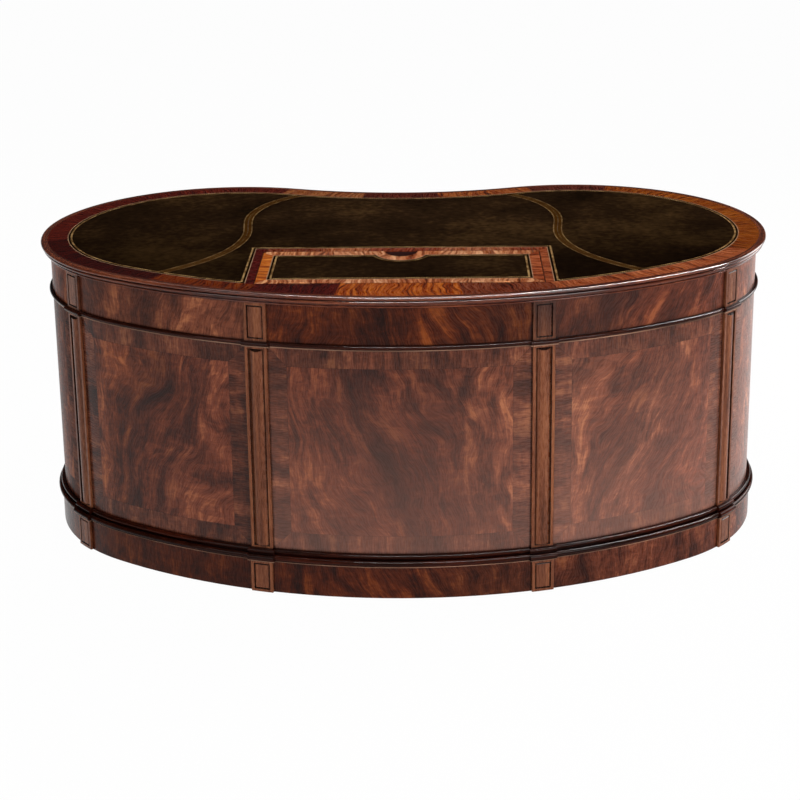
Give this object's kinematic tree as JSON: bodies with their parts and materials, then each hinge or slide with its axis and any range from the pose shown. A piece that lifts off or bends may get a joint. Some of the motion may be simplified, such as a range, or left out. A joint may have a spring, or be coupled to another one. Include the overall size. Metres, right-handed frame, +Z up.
{
  "type": "kidney shaped pedestal desk",
  "caption": "Kidney shaped mahogany pedestal desk with a leather top, a lift-up lid over a cable well, panelled bowed front and drawers on the hollow side.",
  "frame": {"origin": "on the floor under the middle of the desk's outline", "axes": "+Z up, +X across the desk to the right as seen from the visitor side, +Y from the bowed visitor side to the hollow sitter side"},
  "size_m": [1.908, 1.1136, 0.7824],
  "materials": {
    "mahogany": "red brown mahogany, hand rubbed polish",
    "flame_veneer": "flame mahogany veneer with a crossbanded border, polished",
    "crossband": "crossbanded mahogany veneer, high polish",
    "carcase": "plain hardwood, waxed",
    "leather": "near black green hide, gilt tooled edge",
    "brass": "antiqued brass",
    "glide": "dull moulded plastic"
  },
  "bodies": {
    "desk": {"base_moulding": "mahogany", "cable_grommets": "brass", "cable_well": "carcase", "centre_drawer_runners": "carcase", "floor_glides": "glide", "frieze_end_left": "mahogany", "frieze_end_right": "mahogany", "frieze_front_centre": "mahogany", "frieze_front_left": "mahogany", "frieze_front_right": "mahogany", "leather_centre": "leather", "leather_left": "leather", "leather_right": "leather", "left_kneehole_side": "mahogany", "left_pedestal_base": "carcase", "left_pedestal_dividers": "carcase", "lid_hinge_fixed_leaves": "brass", "lid_hinge_pins": "brass", "panel_end_left": "flame_veneer", "panel_end_right": "flame_veneer", "panel_front_centre": "flame_veneer", "panel_front_left": "flame_veneer", "panel_front_right": "flame_veneer", "pilaster_left_inner": "mahogany", "pilaster_left_outer": "mahogany", "pilaster_right_inner": "mahogany", "pilaster_right_outer": "mahogany", "plinth": "mahogany", "right_kneehole_side": "mahogany", "right_pedestal_base": "carcase", "right_pedestal_dividers": "carcase", "sitter_frame": "mahogany", "top_core": "carcase", "top_crossband": "crossband", "top_edge_moulding": "mahogany", "waist_moulding": "mahogany"},
    "lid": {"lid_board": "crossband", "lid_leather": "leather", "lid_hinge_moving_leaves": "brass"},
    "centre_drawer": {"centre_drawer_front": "mahogany", "centre_drawer_box": "carcase", "centre_drawer_brasses": "brass"},
    "left_top_drawer": {"left_top_drawer_front": "mahogany", "left_top_drawer_box": "carcase", "left_top_drawer_brasses": "brass"},
    "left_middle_drawer": {"left_middle_drawer_front": "mahogany", "left_middle_drawer_box": "carcase", "left_middle_drawer_brasses": "brass"},
    "left_file_drawer": {"left_file_drawer_front": "mahogany", "left_file_drawer_box": "carcase", "left_file_drawer_brasses": "brass"},
    "right_top_drawer": {"right_top_drawer_front": "mahogany", "right_top_drawer_box": "carcase", "right_top_drawer_brasses": "brass"},
    "right_middle_drawer": {"right_middle_drawer_front": "mahogany", "right_middle_drawer_box": "carcase", "right_middle_drawer_brasses": "brass"},
    "right_file_drawer": {"right_file_drawer_front": "mahogany", "right_file_drawer_box": "carcase", "right_file_drawer_brasses": "brass"}
  },
  "joints": [
    {"name": "lid_hinge", "type": "hinge", "parent": "desk", "child": "lid", "pos_m": [0, -0.43355, 0.78], "axis": [1, 0, 0], "range_deg": [0, 100]},
    {"name": "centre_drawer_slide", "type": "slide", "parent": "desk", "child": "centre_drawer", "axis": [0, 1, 0], "range_m": [0, 0.33]},
    {"name": "left_top_drawer_slide", "type": "slide", "parent": "desk", "child": "left_top_drawer", "axis": [0, 1, 0], "range_m": [0, 0.4]},
    {"name": "left_middle_drawer_slide", "type": "slide", "parent": "desk", "child": "left_middle_drawer", "axis": [0, 1, 0], "range_m": [0, 0.4]},
    {"name": "left_file_drawer_slide", "type": "slide", "parent": "desk", "child": "left_file_drawer", "axis": [0, 1, 0], "range_m": [0, 0.4]},
    {"name": "right_top_drawer_slide", "type": "slide", "parent": "desk", "child": "right_top_drawer", "axis": [0, 1, 0], "range_m": [0, 0.4]},
    {"name": "right_middle_drawer_slide", "type": "slide", "parent": "desk", "child": "right_middle_drawer", "axis": [0, 1, 0], "range_m": [0, 0.4]},
    {"name": "right_file_drawer_slide", "type": "slide", "parent": "desk", "child": "right_file_drawer", "axis": [0, 1, 0], "range_m": [0, 0.4]}
  ]
}
